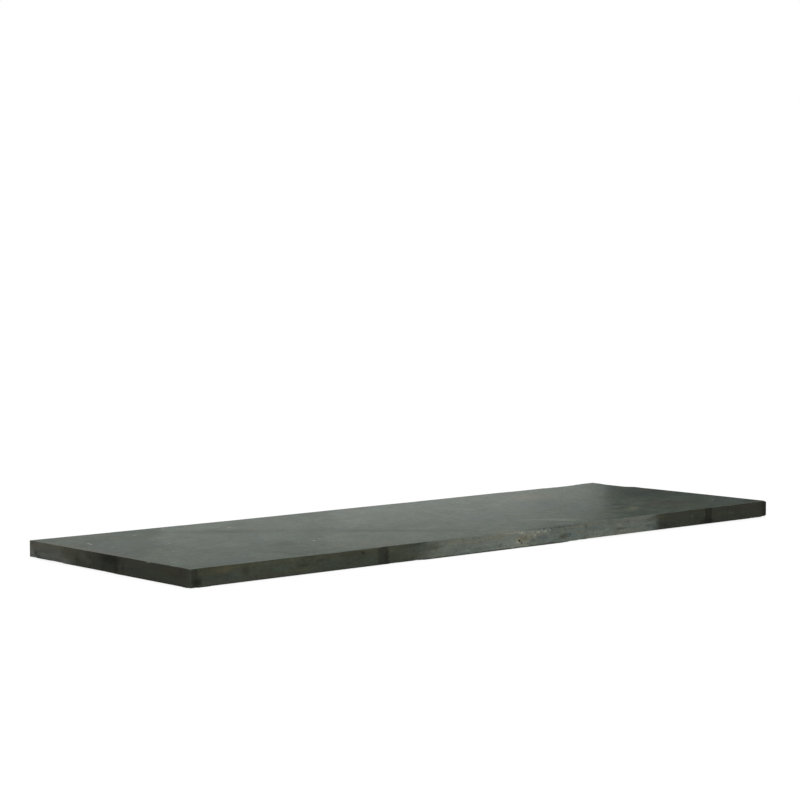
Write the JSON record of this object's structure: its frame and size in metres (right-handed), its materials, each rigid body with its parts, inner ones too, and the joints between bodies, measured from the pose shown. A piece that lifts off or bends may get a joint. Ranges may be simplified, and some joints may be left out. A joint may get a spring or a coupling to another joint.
{
  "type": "slate slab",
  "caption": "Long rectangular slab of dark grey-green slate with a smooth cleft face, sawn edges, worn corners and small edge chips.",
  "frame": {"origin": "centre of the slab's outline, on the plane that it rests on", "axes": "+X along the slab towards its rounded front right corner, +Y from the front long edge to the back long edge, +Z out of the top face"},
  "size_m": [1.5, 0.5, 0.035],
  "materials": {
    "slate": "dark grey-green slate, smooth cleft face with a faint satin sheen, duller sawn edges with ochre and dark weather stains"
  },
  "bodies": {
    "root": {"slab": "slate"}
  },
  "joints": []
}
